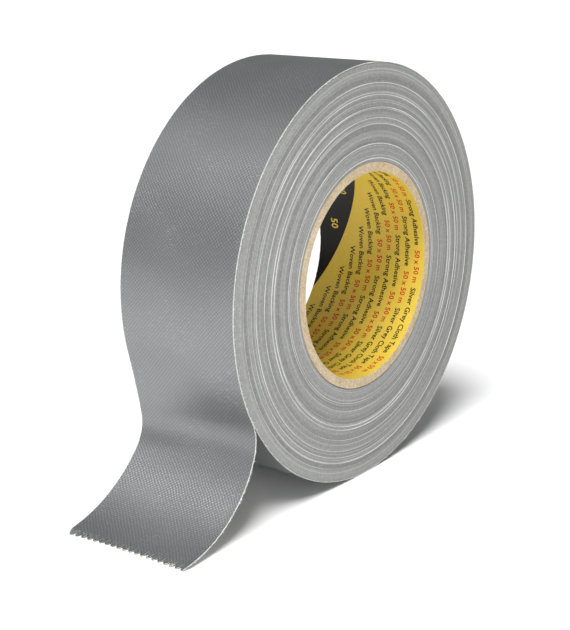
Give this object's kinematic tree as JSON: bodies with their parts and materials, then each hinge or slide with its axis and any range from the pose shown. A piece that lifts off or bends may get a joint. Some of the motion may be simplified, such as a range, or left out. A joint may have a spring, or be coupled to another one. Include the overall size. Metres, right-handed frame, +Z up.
{
  "type": "duct tape roll",
  "caption": "Roll of silver cloth tape on a paperboard core, standing on its rim, with its free end peeled off and bent down to rest on a scalloped cut edge.",
  "frame": {"origin": "on the surface the roll stands on, under the middle of the whole object", "axes": "+Z up; +Y along the roll's axis, away from the seen face; -X towards the peeled free end"},
  "size_m": [0.1816, 0.05, 0.1532],
  "materials": {
    "printed_liner": "yellow and black printed paper, satin varnish",
    "core_board": "grey-brown wound paperboard, matt",
    "core_wrap": "smooth kraft paper",
    "wound_edges": "slit edges of wound cloth tape, ringed",
    "tape_film": "silver-grey polyethylene film over a woven cloth, satin",
    "tape_cloth": "fine off-white cotton weave",
    "tape_adhesive": "pale grey tacky rubber adhesive, glossy"
  },
  "bodies": {
    "roll": {"core_liner": "printed_liner", "core_ply_1": "core_board", "core_ply_2": "core_board", "core_ply_3": "core_board", "core_ply_4": "core_board", "core_ply_5": "core_board", "core_outer_wrap": "core_wrap", "wound_tape": "wound_edges", "last_turn_film": "tape_film", "last_turn_cloth": "tape_cloth", "last_turn_adhesive": "tape_adhesive"},
    "peeled_bend": {"peeled_bend_film": "tape_film", "peeled_bend_cloth": "tape_cloth", "peeled_bend_adhesive": "tape_adhesive"},
    "free_end": {"free_end_film": "tape_film", "free_end_cloth": "tape_cloth", "free_end_adhesive": "tape_adhesive"}
  },
  "joints": [
    {"name": "peel_lift", "type": "hinge", "parent": "roll", "child": "peeled_bend", "pos_m": [-0.05437, 0, 0.04217], "axis": [0, 1, 0], "range_deg": [0, 70]},
    {"name": "free_end_lift", "type": "hinge", "parent": "peeled_bend", "child": "free_end", "pos_m": [-0.05476, 0, 0.02372], "axis": [0, 1, 0], "range_deg": [0, 45]}
  ]
}
